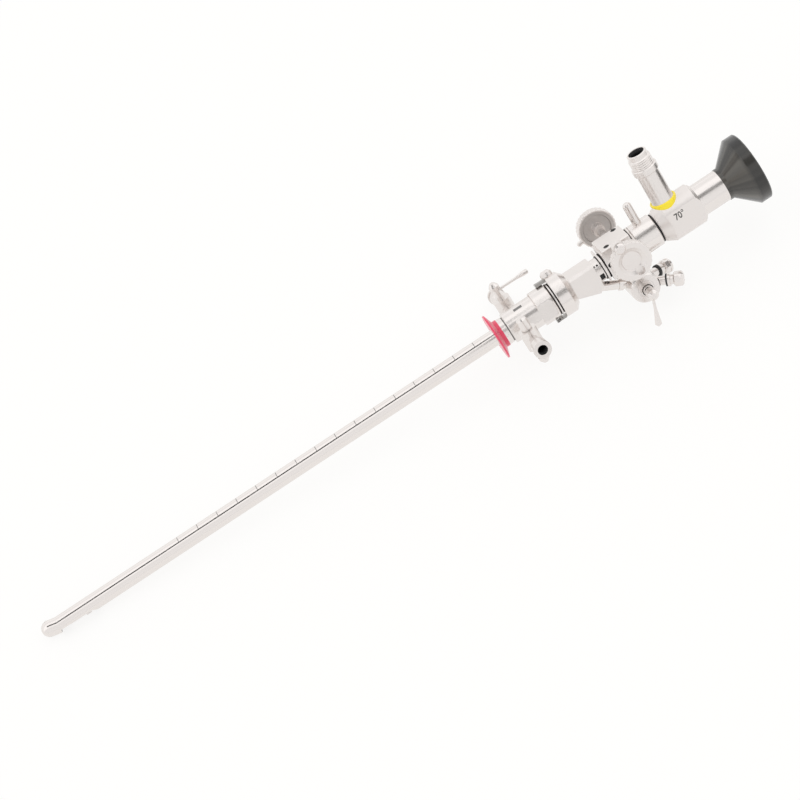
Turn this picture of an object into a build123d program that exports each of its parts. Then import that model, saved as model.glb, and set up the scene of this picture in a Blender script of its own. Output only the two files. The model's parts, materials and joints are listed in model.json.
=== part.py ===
from build123d import *
import os
from math import cos, radians, sin

# A rigid cystoscope made up for use: an outer sheath with two taps, a bridge whose two
# thumbwheels work a small deflecting lever at the tip, and a 70 degree telescope through both.
# Lengths are in millimetres. The instrument is drawn along X with its tip at x = 0 and the sheath
# on the X axis. +Z is the side of the light post, -Y the near side and +Y the far side.
# At the end it is turned and lowered onto the surface that it lies on.

# Clearances
joined_gap = 0.02       # between pieces that are soldered, pressed or glued together
running_gap = 0.05      # radial, between a shaft and the bore that it turns in
face_gap = 0.1          # between faces that turn against each other
passing_gap = 0.3       # between pieces that move past each other

# Cutting tools
past = 1.0              # how far a tool reaches past the face that it cuts or joins
well_past = 20.0        # the same where nothing else is near
edge_break = 0.3        # the small bevel on turned edges

# Sheath
sheath_od = 7.33        # 22 French
sheath_wall = 0.25
sheath_length = 233.4   # from the tip to the hub
sheath_seat = 10.6      # the tube's depth inside the hub
beak_length = 7.5
beak_angle = 13.0       # degrees towards the light post side
window_front = 8.0
window_back = 23.0
window_ramp = 5.0
window_level = -1.1

# Size collar
collar_rim_r = 10.45
collar_rim = 0.8
collar_cone = 1.4
collar_boss_r = 6.3
collar_width = 3.9
collar_edge = 0.15

# Sheath hub
hub_neck_r = 6.05
hub_neck = 2.2
hub_groove_r = 5.6
hub_groove = 0.6
hub_body_r = 7.1
hub_body = 14.3
hub_rear_r = 8.0
hub_rear = 7.9
hub_step = 0.4
stud_d = 1.6
stud_height = 1.2
stud_depth = 1.4
stud_inset = 0.9        # from the hub's rear face to the stud's centre
hub_flat = 6.8          # from the axis to the flats milled on both sides
hub_flat_inset = 11.3   # from the hub's front face
hub_flat_rim = 0.7      # left standing at the hub's rear
hub_flat_half_width = 4.4
hub_flat_corner = 2.0
lock_angle = 25.0       # of the lock's knob and catches, from +Z towards the far side

# Taps on the sheath hub
tap_inset = 8.1         # from the hub's front face to the tap's axis
tap_reach = 19.0        # from the sheath's axis to the tap plug's axis
barrel_r = 3.9
barrel_top = 5.2
barrel_base = 4.0
branch_r = 2.6
branch_start = 5.1
flow_r = 1.2
plug_r = 1.9
plug_neck_r = 1.4
plug_cap_r = 2.35
plug_cap_base = 10.2
plug_cap = 3.1
stem_thread_r = 1.0
nut_r = 2.35
nut_length = 6.0
nut_dome = 0.95
nut_tip_r = 1.3
lever_level = 9.2
lever_length = 16.1
lever_r = 0.65
lever_end_r = 1.15
lever_taper_start = 9.7
lever_taper_end = 13.7
near_lever_turn = -90.0  # the near lever lies along its branch, towards the hub
luer_neck_r = 1.9
luer_neck_end = 4.9     # distances from the plug's axis
luer_cone_end = 11.0
luer_length = 16.8
luer_r = 3.5
luer_lip_r = 3.9
luer_lip = 1.3
luer_mouth_r = 2.25
luer_root_r = 2.0
luer_depth = 7.5

# Bridge
nose_gap = 0.05
nose_r = 5.2
nose_length = 11.0
nose_chamfer = 0.4
nose_lead = 0.6
bridge_gap = 0.6        # between the hub and the bridge's flange
flange_r = 7.6
flange = 0.6
seal_inset = 4.0
seal_width = 1.6
seal_depth = 0.8
journal_r = 6.4
ring_gap = 0.5
ring_r = 9.7
ring_width = 5.4
ring_taper = 2.2
ring_rear_r = 7.2
ring_chamfer = 0.35
catch_inner_r = 8.35
catch_outer_r = 9.75
catch_reach = 4.8
catch_tip = 1.2
catch_span = 26.0       # degrees round the ring
catch_arm_span = 14.0
catch_arm_turn = 15.0   # from the hook's start to the arm's
knob_r = 2.7
knob_top = 12.3
knob_inset = 2.1
knob_round = 1.2
body_length = 12.0
body_half_width = 5.5
body_top = 5.6
body_top_edge = 1.1
body_top_chamfer = 1.045
body_front_drop = 4.2
body_rear_drop = 5.0
body_low_drop = 7.6
body_low_x = 9.5
neck_r = 5.2
neck_length = 5.2
plate_inset = 1.7
plate = 0.8
plate_half_width = 6.6
plate_top = 6.5
plate_drop = 5.0
plate_corner = 1.2
block_length = 14.3
block_half_width = 7.1
block_top = 9.2
block_drop = 5.6
block_step = 0.8
block_step_inset = 0.3
block_step_top = 1.7
block_edge = 0.5
screw_head_r = 1.3
screw_head = 0.9
screw_stem_r = 0.8
screw_length = 3.5
screw_slot = 0.35
screw_slot_depth = 0.4
screw_sunk = 0.25
rear_screw = (3.0, 5.2)   # from the block's rear face, and to the far side
front_screw = (4.0, -5.0)  # from the block's front face, and to the far side
side_screw = (1.7, 1.6)   # from the block's front face, and above the axis
guide_od = 4.44
guide_id = 4.14
guide_start = 19.0
guide_end = 1.2         # from the block's rear face to the tube's end
guide_level = 1.15      # the telescope's axis above the sheath's axis

# Thumbwheels and the drive to the deflecting lever
axle_inset = 7.8
axle_level = 6.2
axle_r = 1.75
axle_end_r = 1.2
pinion_teeth = 10
pinion_half_width = 1.5
tooth_gap_r = 0.28
wheel_r = 8.7
wheel_inner = 21.6      # distances from the instrument's middle plane
wheel_outer = 25.6
wheel_boss_r = 2.7
wheel_boss = 3.0
wheel_dish = 0.7
wheel_ring = 2.6
wheel_edge = 0.4
bowl_r = 4.6            # the bowl turned in the wheel's middle
bowl_depth = 1.5
bowl_round = 0.5
wheel_floor = 0.5       # metal left under the bowl
scallops = 28
scallop_r = 0.55
scallop_depth = 0.35
peg_r = 2.5
peg_height = 1.8
peg_round = 0.7
peg_foot = 0.5          # the peg's depth in the wheel
peg_radius = 8.4
near_peg_angle = 103.0
peg_lobe = 0.25         # the wheel's lobe round the peg
far_peg_angle = 193.0
far_peg_r = 1.1
far_peg_out = 2.4
far_peg_foot = 1.5
far_peg_round = 0.5
dimple_r = 1.9
dimple_depth = 1.5
dimple_angle = -78.0
dimple_radius = 5.6
wheel_turn = 60.0
rack_half_width = 1.3
rack_thickness = 0.65
rack_length = 10.5
rack_teeth = 9
rack_pitch = 1.0
rack_tooth_gap = 0.5
rack_tooth_depth = 0.25
yoke = 1.2
yoke_half_width = 2.95
yoke_drop = 1.95
yoke_inset = 5.2
rod_r = 0.45
rod_side = 2.45
rod_level = -1.35
rod_start = 25.8
elevator_x = 21.5
elevator_level = -2.0
elevator_length = 10.0
elevator_half_width = 1.35
elevator_thickness = 0.55
elevator_corner = 1.2
elevator_hollow_r = 0.6
elevator_hollow_level = 0.35  # above the lever's upper face
elevator_barrel_r = 0.65
elevator_pin_r = 0.3
lug_half_width = 1.9
lug_length = 2.6
lug_drop = 2.7

# Channel tap and ports below the bridge
drum_inset = 9.3        # from the block's front face to the drum's axis
drum_level = -15.8
drum_r = 6.6
drum_near = 8.5
drum_far = 6.5
drum_edge = 0.6
channel_slope = -29.0
channel_od = 4.3
channel_id = 2.4
channel_inset = 7.5     # from the body's front face to the channel tube's end
channel_collar_r = 2.7
channel_collar_inset = 0.8  # from the block's front face
channel_collar = 1.6
lumen_level = -3.2
lumen_r = 1.1
channel_plug_r = 3.6
channel_ring_r = 2.9
channel_ring_end = 11.0
channel_stem_r = 1.8
channel_cap_r = 2.4
channel_cap_base = 14.0
channel_cap_end = 19.0
channel_cap_round = 1.2
channel_nut_r = 2.9
channel_nut = 2.4
channel_nut_edge = 0.5
channel_stem_end = 1.7  # the plug's stem inside the nut
channel_lever_level = 16.0
channel_lever_length = 15.0
channel_lever_angle = -106.7
channel_lever_r = 0.65
channel_lever_end_r = 1.5
channel_lever_taper = 6.75
channel_lever_round = 0.9
port_start_side = 1.5
port_direction = (0.865, 0.42, -0.28)
port_r = 2.1
port_start = 2.0
port_shoulder = 10.8
port_end = 13.6
port_thread_r = 1.65
washer_r = 2.75
washer = 0.8
port_bore_r = 1.1
cap_flange_r = 2.9
cap_flange = 1.1
cap_waist_r = 2.2
cap_waist_end = 14.2
cap_end = 18.4
cap_r = 3.3
cap_hole_r = 0.9
cap_edge = 0.7
cap_corner = 1.06       # the hexagon's corners lie this far out, in cap radii
cap_lip = 1.6
cap_funnel = 0.8
port_seal = 1.2
port_seal_hole_r = 0.3

# Telescope receiver and its lock
receiver_r = 6.0
receiver_short = 0.2    # from the receiver's end to the sleeve's
sleeve_gap = 1.7
sleeve_r = 7.4
sleeve_length = 10.5
lock_pin_r = 1.9
lock_pin_inset = 4.8
lock_pin_top = 18.8
lock_pin_foot = 0.4      # above the receiver
lock_pin_crown = ((1.1, 0.0), (0.4, 0.5), (0.0, 1.2))  # below the top, and in from the side

# Telescope
scope_tip = 9.0
scope_d = 4.0
scope_wall = 0.2
view_angle = 70.0
distal_glass = 0.45
tip_slope = 6.5         # from the telescope's tip to the foot of its sloping face
tip_wall = 0.3
optics_inset = 8.2      # from the tip to the optical tube and the fibres
rods_inset = 9.0
shaft_seat = 3.0        # the shaft's depth in the telescope's body
rods_seat = 2.0
inner_tube_r = 1.35
inner_tube_wall = 0.12
fibre_gap = 0.02
rod_count = 7
rod_space = 1.6
spigot_r = 4.4
spigot_length = 8.0
scope_body_gap = 0.9
scope_body_length = 20.4
scope_front_r = 7.0
scope_cone = 4.4
scope_front_edge = 0.4
scope_bore_r = 3.0
scope_body_r = 9.3
scope_flat = 7.5
scope_rear_cone = 1.3
scope_rear_r = 8.0
post_inset = 7.9
post_ring_r = 5.95
post_ring_top = 11.3
post_ring_base = 7.2
post_ring_edge = 0.4
post_r = 4.9
post_base = 8.0
post_top = 25.6
adapter_r = 5.65
adapter_top = 28.9
adapter_edge = 0.4
adapter_neck_r = 5.0
adapter_neck_top = 32.8
adapter_lip_r = 4.4
adapter_lip_edge = 0.2
adapter_lip_cone = 0.5
adapter_ribs = 4
adapter_top_end = 35.5
adapter_mouth_r = 3.6
adapter_floor_r = 3.2
adapter_depth = 3.5
adapter_groove = 0.45
light_guide_r = 2.3
light_guide_foot = 3.0  # above the telescope's axis
light_guide_out = 0.5   # out of the adapter's floor
eyepiece_r = 7.2
eyepiece_bore_r = 5.6
eyepiece_length = 12.3
eyepiece_seat = 4.0
eyepiece_front_r = 6.5   # inside the telescope's body
eyepiece_rear_r = 6.6    # inside the eyecup
cup_neck_r = 7.45
cup_neck = 1.7
cup_r = 15.7
cup_cone = 8.7
cup_rim = 5.0
cup_wall = 1.5
cup_seat = 1.4
cup_edge = 0.5
cup_funnel_wall = 1.9
cup_throat_r = 4.7
cup_throat = 1.2
window_glass = 1.5
ocular_r = 5.2
ocular = 3.0
ocular_edge = 0.8
ocular_inset = 4.0

# Stations along the instrument that follow from those sizes
tube_r = sheath_od / 2
tube_inner_r = tube_r - sheath_wall
hub_x = sheath_length
hub_body_x = hub_x + hub_neck + hub_groove
hub_rear_x = hub_body_x + hub_body
hub_end = hub_rear_x + hub_rear
seat_x = hub_x + sheath_seat
tap_x = hub_x + tap_inset
chamber_r = nose_r + nose_gap
flange_x = hub_end + bridge_gap
journal_x = flange_x + flange
ring_x = journal_x + ring_gap
ring_end = ring_x + ring_width + ring_taper
body_x = ring_end + passing_gap
neck_x = body_x + body_length
block_x = neck_x + neck_length
block_end = block_x + block_length
axle_x = block_x + axle_inset
drum_x = block_x + drum_inset
channel_start = body_x + channel_inset
channel_collar_x = block_x + channel_collar_inset
sleeve_x = block_end + sleeve_gap
scope_body_x = sleeve_x + sleeve_length + scope_body_gap
scope_body_end = scope_body_x + scope_body_length
post_x = scope_body_x + post_inset
cup_x = scope_body_end + eyepiece_length
cup_end = cup_x + cup_neck + cup_cone + cup_rim
guide_r = guide_od / 2
scope_r = scope_d / 2
rack_top = axle_level - axle_r - running_gap
rack_travel = (axle_r - tooth_gap_r / 2) * radians(wheel_turn)


def turned(*points):
    """A solid turned about the X axis from (x, radius) points."""
    return revolve(make_face(Polyline(*points, close=True)), Axis.X)


def turned_on(origin, direction, *points):
    """A turned solid whose axis starts at origin and runs along direction."""
    aim = Vector(*direction).normalized()
    across = Vector(0, 1, 0) if abs(aim.Y) < 0.7 else Vector(1, 0, 0)
    return Plane(origin=origin, x_dir=aim, z_dir=aim.cross(across)) * turned(*points)


def bar(start, end, radius):
    """A round bar from one point to another."""
    run = Vector(*end) - Vector(*start)
    base = (Align.CENTER, Align.CENTER, Align.MIN)
    return Plane(origin=start, z_dir=run) * Cylinder(radius, run.length, align=base)


def along(start, end, radius, level=0.0, side=0.0):
    """A round bar parallel to X between two stations."""
    return bar((start, side, level), (end, side, level), radius)


def across(x, level, start, end, radius):
    """A round bar parallel to Y; start and end are distances to the far side."""
    return bar((x, start, level), (x, end, level), radius)


def block(x, y, z):
    """A rectangular block between the (low, high) pairs x, y and z."""
    size = (x[1] - x[0], y[1] - y[0], z[1] - z[0])
    centre = ((x[0] + x[1]) / 2, (y[0] + y[1]) / 2, (z[0] + z[1]) / 2)
    return Pos(*centre) * Box(*size)


def side_plate(half_width, *points):
    """A solid with the outline of (x, z) points, as wide as twice half_width."""
    outline = make_face(Polyline(*points, close=True))
    return Plane.XZ * extrude(outline, half_width, both=True)


def about_x(solid, angle, level=0.0):
    """A solid turned about an axis parallel to X, from +Z towards +Y."""
    return Pos(0, 0, level) * Rot(-angle, 0, 0) * Pos(0, 0, -level) * solid


def make_sheath():
    """The drawn tube with its bent, closed beak and the window cut in its underside."""
    nose = Plane(origin=(beak_length, 0, 0), x_dir=Vector(-1, 0, 0).rotate(Axis.Y, beak_angle),
                 z_dir=(0, 1, 0))

    def beak(radius, length):
        tube = nose * turned((0, 0), (0, radius), (length - radius, radius), (length - radius, 0))
        end = nose * Pos(length - radius, 0, 0) * Sphere(radius)
        return tube + end + Pos(beak_length, 0, 0) * Sphere(radius)

    outer = along(beak_length, seat_x, tube_r) + beak(tube_r, beak_length)
    inner = along(beak_length, seat_x + past, tube_inner_r) + beak(tube_inner_r, beak_length - sheath_wall)
    under = -tube_r - past
    window = side_plate(tube_r + past, (window_front, window_level), (window_back, window_level),
                        (window_back + window_ramp, under), (window_front - past, under))
    flow = across(tap_x, 0, -tube_r - past, tube_r + past, flow_r)
    return outer - inner - window - flow


def make_collar():
    """The coloured plastic disc that marks the sheath's size and seals against the hub."""
    start = hub_x - collar_width
    bore = tube_r + joined_gap
    return turned((start, bore), (start, collar_rim_r - edge_break), (start + collar_edge, collar_rim_r),
                  (start + collar_rim, collar_rim_r), (start + collar_rim + collar_cone, collar_boss_r),
                  (hub_x - joined_gap, collar_boss_r), (hub_x - joined_gap, bore))


def make_hub():
    """The turned hub, bored for the tube, the bridge's nose, the taps and the lock studs."""
    bore = tube_r + joined_gap
    hub = turned((hub_x, bore), (hub_x, hub_neck_r), (hub_x + hub_neck, hub_neck_r),
                 (hub_x + hub_neck, hub_groove_r), (hub_body_x, hub_groove_r),
                 (hub_body_x, hub_body_r - edge_break), (hub_body_x + edge_break, hub_body_r),
                 (hub_rear_x, hub_body_r), (hub_rear_x + hub_step, hub_rear_r),
                 (hub_end - edge_break, hub_rear_r), (hub_end, hub_rear_r - edge_break),
                 (hub_end, chamber_r), (seat_x, chamber_r), (seat_x, bore))
    hub -= across(tap_x, 0, -hub_body_r - past, hub_body_r + past, flow_r)
    for pin in stud_places(joined_gap):
        hub -= pin
    flat = block((hub_x + hub_flat_inset, hub_end - hub_flat_rim), (hub_flat, hub_rear_r + past),
                 (-hub_flat_half_width, hub_flat_half_width))
    flat = fillet(flat.edges().filter_by(Axis.Y), hub_flat_corner)
    return hub - flat - mirror(flat, about=Plane.XZ)


def stud_places(gap):
    """The two lock studs, larger all round by gap."""
    x = hub_end - stud_inset
    foot = hub_rear_r - stud_depth - gap
    pin = bar((x, 0, foot), (x, 0, hub_rear_r + stud_height), stud_d / 2 + gap)
    return [about_x(pin, lock_angle), about_x(pin, lock_angle + 180)]


def make_tap_housing():
    """The far tap's branch, barrel and Luer socket, brazed into one and bored through."""
    centre = (tap_x, tap_reach, 0)
    outward = (0, 1, 0)
    body = across(tap_x, 0, branch_start, tap_reach, branch_r)
    body += bar((tap_x, tap_reach, -barrel_base), (tap_x, tap_reach, barrel_top), barrel_r)
    body += turned_on(centre, outward, (0, 0), (0, luer_neck_r), (luer_neck_end, luer_neck_r),
                      (luer_cone_end, luer_r), (luer_length - luer_lip, luer_r),
                      (luer_length - luer_lip, luer_lip_r), (luer_length, luer_lip_r), (luer_length, 0))
    body -= along(hub_x, hub_end, hub_body_r + joined_gap)
    body -= across(tap_x, 0, 0, tap_reach + luer_length, flow_r)
    body -= turned_on(centre, outward, (luer_length + past, 0), (luer_length + past, luer_mouth_r),
                      (luer_length - luer_depth, luer_root_r), (luer_length - luer_depth, 0))
    return body - bar((tap_x, tap_reach, -barrel_base - past), (tap_x, tap_reach, barrel_top + past),
                      plug_r + running_gap)


def make_tap_plug(lever_angle):
    """A tap's plug with its flow bore, neck, cap and lever; the angle is from +X to outward."""
    foot = -barrel_base - face_gap - nut_length / 2
    plug = turned_on((0, 0, 0), (0, 0, 1), (foot, 0), (foot, stem_thread_r), (-barrel_base, stem_thread_r),
                     (-barrel_base, plug_r), (barrel_top, plug_r), (barrel_top, plug_neck_r),
                     (plug_cap_base, plug_neck_r), (plug_cap_base, plug_cap_r),
                     (plug_cap_base + plug_cap / 2, plug_cap_r), (plug_cap_base + plug_cap, plug_cap_r / 2),
                     (plug_cap_base + plug_cap, 0))
    lever = turned_on((0, 0, lever_level), (1, 0, 0), (0, 0), (0, lever_r), (lever_taper_start, lever_r),
                      (lever_taper_end, lever_end_r), (lever_length - edge_break, lever_end_r),
                      (lever_length, lever_end_r - edge_break), (lever_length, 0))
    plug = plug + lever - along(-plug_r - past, plug_r + past, flow_r)
    return Pos(tap_x, tap_reach, 0) * Rot(0, 0, lever_angle) * plug


def make_tap_nut():
    """The domed nut that holds a tap's plug down."""
    start = barrel_base + face_gap
    nut = turned_on((0, 0, 0), (0, 0, -1), (start, stem_thread_r + joined_gap), (start, nut_r),
                    (start + nut_length - nut_dome, nut_r), (start + nut_length, nut_tip_r),
                    (start + nut_length, 0), (start + nut_length / 2 + joined_gap, 0),
                    (start + nut_length / 2 + joined_gap, stem_thread_r + joined_gap))
    return Pos(tap_x, tap_reach, 0) * nut


def make_lock_ring():
    """The ring that draws the hub and the bridge together."""
    bore = journal_r + running_gap
    ring = turned((ring_x, bore), (ring_x, ring_r - ring_chamfer), (ring_x + ring_chamfer, ring_r),
                  (ring_x + ring_width, ring_r), (ring_end, ring_rear_r), (ring_end, bore))
    return ring


def make_catches():
    """Two hooked catches on the front of the lock ring, which reach over the hub's studs."""
    front = ring_x - catch_reach

    def arc(x0, x1, span):
        face = make_face(Polyline((x0, catch_inner_r), (x0, catch_outer_r), (x1, catch_outer_r),
                                  (x1, catch_inner_r), close=True))
        return revolve(face, Axis.X, span)

    hook = arc(front, front + catch_tip, catch_span)
    arm = Rot(catch_arm_turn, 0, 0) * arc(front, ring_x - joined_gap, catch_arm_span)
    catch = Rot(90 - catch_arm_turn / 2, 0, 0) * (hook + arm)
    return [about_x(catch, lock_angle), about_x(catch, lock_angle + 180)]


def make_knob():
    """The thumb knob on top of the lock ring."""
    x = ring_x + knob_inset
    knob = turned_on((x, 0, 0), (0, 0, 1), (ring_r - past, 0), (ring_r - past, knob_r),
                     (knob_top - knob_round, knob_r), (knob_top, knob_r - knob_round), (knob_top, 0))
    return about_x(knob, lock_angle) - along(ring_x - well_past, ring_end + well_past, ring_r + joined_gap)


def channel_point(x):
    """The (x, z) point of the channel's axis at a station."""
    slope = sin(radians(channel_slope)) / cos(radians(channel_slope))
    return x, drum_level + (x - drum_x) * slope


def channel_bar(x0, x1, radius):
    """A round bar on the channel's sloping axis between two stations."""
    (ax, az), (bx, bz) = channel_point(x0), channel_point(x1)
    return bar((ax, 0, az), (bx, 0, bz), radius)


def make_bridge_body():
    """Nose, flange, journal, Y-shaped body and neck of the bridge."""
    nose_x = flange_x - nose_length
    groove = nose_x + seal_inset
    body = turned((nose_x, 0), (nose_x, nose_r - nose_chamfer), (nose_x + nose_lead, nose_r),
                  (groove, nose_r), (groove, nose_r - seal_depth), (groove + seal_width, nose_r - seal_depth),
                  (groove + seal_width, nose_r), (flange_x, nose_r), (flange_x, flange_r),
                  (journal_x, flange_r), (journal_x, journal_r), (body_x, journal_r), (body_x, 0))
    edge = body_half_width - body_top_edge
    shoulder = block((body_x, neck_x), (-edge, edge), (0, body_top))
    panel = side_plate(body_half_width, (body_x, body_top - body_top_edge),
                       (neck_x, body_top - body_top_edge), (neck_x, -body_rear_drop),
                       (body_x + body_low_x, -body_low_drop), (body_x, -body_front_drop))
    top = chamfer(block((body_x, neck_x), (-body_half_width, body_half_width), (0, body_top))
                  .edges().filter_by(Axis.X).group_by(Axis.Z)[-1], body_top_chamfer)
    body += shoulder + panel + top
    body += along(neck_x, block_x - joined_gap, neck_r)
    body -= along(nose_x - past, block_x + past, guide_r + joined_gap, guide_level)
    for side in (-rod_side, rod_side):
        body -= along(nose_x - past, block_x + past, rod_r + running_gap * 2, rod_level, side)
    bend = drum_x + (lumen_level - drum_level) / (sin(radians(channel_slope)) / cos(radians(channel_slope)))
    body -= along(nose_x - past, bend, lumen_r, lumen_level) + Pos(bend, 0, lumen_level) * Sphere(lumen_r)
    body -= channel_bar(bend, block_x, lumen_r)
    return body - channel_bar(channel_start, block_x, channel_od / 2 + joined_gap)


def make_seal():
    """The rubber ring in the nose's groove."""
    start = flange_x - nose_length + seal_inset
    inner = nose_r - seal_depth
    return turned((start + joined_gap, inner + joined_gap), (start + joined_gap, chamber_r - joined_gap),
                  (start + seal_width - joined_gap, chamber_r - joined_gap),
                  (start + seal_width - joined_gap, inner + joined_gap))


def make_plate():
    """The clamping plate round the bridge's neck."""
    start = block_x - plate_inset
    plate_solid = block((start, start + plate), (-plate_half_width, plate_half_width),
                        (-plate_drop, plate_top))
    plate_solid = chamfer(plate_solid.edges().filter_by(Axis.X), plate_corner)
    return plate_solid - along(block_x - well_past, block_x, neck_r + joined_gap)


def block_screw_places():
    """Where the block's screws sit: a point on its surface and the direction of the head."""
    side_x = block_x + side_screw[0]
    return [((block_end - rear_screw[0], rear_screw[1], block_top), (0, 0, 1)),
            ((block_x + front_screw[0], front_screw[1], block_top), (0, 0, 1)),
            ((side_x, -block_half_width, side_screw[1]), (0, -1, 0)),
            ((side_x, block_half_width, side_screw[1]), (0, 1, 0))]


def screw(place, gap, top):
    """A cheese-head screw without its slot, larger all round by gap, up to top above the surface."""
    point, out = place
    head = -screw_head - screw_sunk - gap
    return turned_on(point, out, (-screw_length - gap, 0), (-screw_length - gap, screw_stem_r + gap),
                     (head, screw_stem_r + gap), (head, screw_head_r + gap),
                     (top, screw_head_r + gap), (top, 0))


def make_screws():
    """The block's four slotted screws."""
    solids = []
    for place in block_screw_places():
        point, out = place
        aim = Vector(*out)
        cut = Box(screw_slot, screw_head_r * 3, screw_slot_depth * 2)
        cut = Plane(origin=Vector(*point) - aim * screw_sunk, z_dir=aim) * cut
        solids.append(screw(place, 0, -screw_sunk) - cut)
    return solids


def make_block():
    """The milled block that carries the wheels' axle, the rack and the telescope's receiver."""
    width = (-block_half_width, block_half_width)
    solid = block((block_x + block_step, block_end), width, (-block_drop, block_top))
    solid = chamfer(solid.edges().filter_by(Axis.X), block_edge)
    inset = block_half_width - block_step_inset
    solid += block((block_x, block_x + block_step + past), (-inset, inset),
                   (-block_drop + block_step_inset, block_top - block_step_top))
    solid += along(block_end - past, sleeve_x + sleeve_length - receiver_short, receiver_r, guide_level)
    solid -= along(block_x - past, sleeve_x + sleeve_length, guide_r + joined_gap, guide_level)
    solid -= along(sleeve_x + sleeve_length - receiver_short - spigot_length, scope_body_x,
                   spigot_r + joined_gap, guide_level)
    room = yoke_inset - yoke - rack_travel - passing_gap
    solid -= block((block_x + room, block_x + yoke_inset + passing_gap),
                   (-yoke_half_width - passing_gap, yoke_half_width + passing_gap),
                   (-yoke_drop - passing_gap, rack_top + passing_gap))
    solid -= block((block_x + room, block_x + yoke_inset + rack_length + passing_gap),
                   (-rack_half_width - passing_gap, rack_half_width + passing_gap),
                   (guide_level, rack_top + passing_gap))
    side = block_half_width + past
    solid -= across(axle_x, axle_level, -side, side, axle_r + running_gap)
    for side in (-rod_side, rod_side):
        solid -= along(block_x - past, block_x + yoke_inset, rod_r + running_gap * 2, rod_level, side)
    for place in block_screw_places():
        solid -= screw(place, joined_gap, past)
    return solid


def make_guide():
    """The tube that holds the telescope, with two lugs for the deflecting lever's pin."""
    end = block_end + guide_end
    lugs = block((elevator_x - lug_length / 2, elevator_x + lug_length / 2),
                 (-lug_half_width, lug_half_width), (-lug_drop, guide_level))
    lugs -= block((0, elevator_x + lug_length), (-elevator_half_width - face_gap,
                  elevator_half_width + face_gap), (-lug_drop - past, guide_level - guide_r))
    guide = along(guide_start, end, guide_r, guide_level) + lugs
    guide -= along(guide_start - well_past, end + past, guide_id / 2, guide_level)
    return guide - across(elevator_x, elevator_level, -well_past, well_past, elevator_pin_r + joined_gap)


def make_elevator():
    """The deflecting lever, a spoon-ended tongue on a hinge barrel."""
    half = elevator_half_width
    barrel = across(elevator_x, elevator_level, -half, half, elevator_barrel_r)
    low = elevator_level - elevator_thickness / 2
    tongue = block((elevator_x - elevator_length, elevator_x), (-half, half),
                   (low, low + elevator_thickness))
    tongue = fillet(tongue.edges().filter_by(Axis.Z).group_by(Axis.X)[0], elevator_corner)
    hollow = low + elevator_thickness + elevator_hollow_level
    tongue -= along(0, elevator_x - elevator_barrel_r, elevator_hollow_r, hollow)
    hole = across(elevator_x, elevator_level, -well_past, well_past, elevator_pin_r + running_gap)
    return barrel + tongue - hole


def make_rods():
    """The two control rods beside the telescope."""
    end = block_x + yoke_inset - yoke - joined_gap
    return [along(rod_start, end, rod_r, rod_level, side) for side in (-rod_side, rod_side)]


def make_yoke():
    """The yoke that joins the rack to the rods, round the telescope's tube."""
    end = block_x + yoke_inset
    solid = block((end - yoke, end), (-yoke_half_width, yoke_half_width), (-yoke_drop, rack_top))
    return solid - along(end - well_past, end + well_past, guide_r + running_gap * 2, guide_level)


def make_rack():
    """The flat rack under the pinion, toothed along its top."""
    start = block_x + yoke_inset + joined_gap
    base = rack_top - rack_thickness
    solid = block((start, start + rack_length - passing_gap), (-rack_half_width, rack_half_width),
                  (base, rack_top))
    for tooth in range(rack_teeth):
        x = start + (tooth + 1) * rack_pitch
        solid -= block((x, x + rack_tooth_gap), (-well_past, well_past),
                       (rack_top - rack_tooth_depth, rack_top + past))
    return solid


def make_axle():
    """The axle of the two thumbwheels."""
    solid = across(axle_x, axle_level, -wheel_inner + wheel_boss, wheel_inner - wheel_boss, axle_r)
    axle_end = wheel_outer - bowl_depth - wheel_floor - joined_gap
    solid += across(axle_x, axle_level, -axle_end, axle_end, axle_end_r)
    axis = Axis((axle_x, 0, axle_level), (0, 1, 0))
    gap = across(axle_x, axle_level + axle_r, -pinion_half_width, pinion_half_width, tooth_gap_r)
    for tooth in range(pinion_teeth):
        solid -= gap.rotate(axis, tooth * 360 / pinion_teeth)
    return solid


def make_wheel(dimpled):
    """The near thumbwheel, turned with a hub boss, a bowl in its face and a scalloped rim."""
    bore = axle_end_r + joined_gap
    lip = wheel_r - wheel_ring
    boss_end = wheel_inner - wheel_boss + joined_gap
    web = wheel_inner + wheel_dish
    face = wheel_outer - wheel_dish
    bowl = wheel_outer - bowl_depth
    wheel = turned_on((axle_x, 0, axle_level), (0, -1, 0),
                      (boss_end, bore), (boss_end, wheel_boss_r), (web, wheel_boss_r), (web, lip),
                      (wheel_inner, lip + wheel_edge), (wheel_inner, wheel_r - wheel_edge),
                      (wheel_inner + wheel_edge, wheel_r), (wheel_outer - wheel_edge, wheel_r),
                      (wheel_outer, wheel_r - wheel_edge), (wheel_outer, lip), (face, bowl_r + bowl_round),
                      (bowl + bowl_round, bowl_r), (bowl, bowl_r - bowl_round), (bowl, 0),
                      (bowl - wheel_floor, 0), (bowl - wheel_floor, bore))
    cutter = across(axle_x + wheel_r + scallop_r - scallop_depth, axle_level, -wheel_outer - past,
                    -wheel_inner + past, scallop_r)
    axis = Axis((axle_x, 0, axle_level), (0, 1, 0))
    for number in range(scallops):
        wheel -= cutter.rotate(axis, number * 360 / scallops)
    if dimpled:
        outside = wheel_outer + past
        wheel += on_wheel(near_peg_angle, peg_radius, web, wheel_outer, peg_r + peg_lobe)
        wheel -= on_wheel(dimple_angle, dimple_radius, wheel_outer - dimple_depth, outside, dimple_r)
        wheel -= on_wheel(near_peg_angle, peg_radius, wheel_outer - peg_foot, outside, peg_r + joined_gap)
    return wheel


def on_wheel(angle, radius, start, end, bar_r):
    """A round bar parallel to the axle on the near side, at an angle and radius from it."""
    x = axle_x + radius * cos(radians(angle))
    z = axle_level + radius * sin(radians(angle))
    return across(x, z, -start, -end, bar_r)


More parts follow.
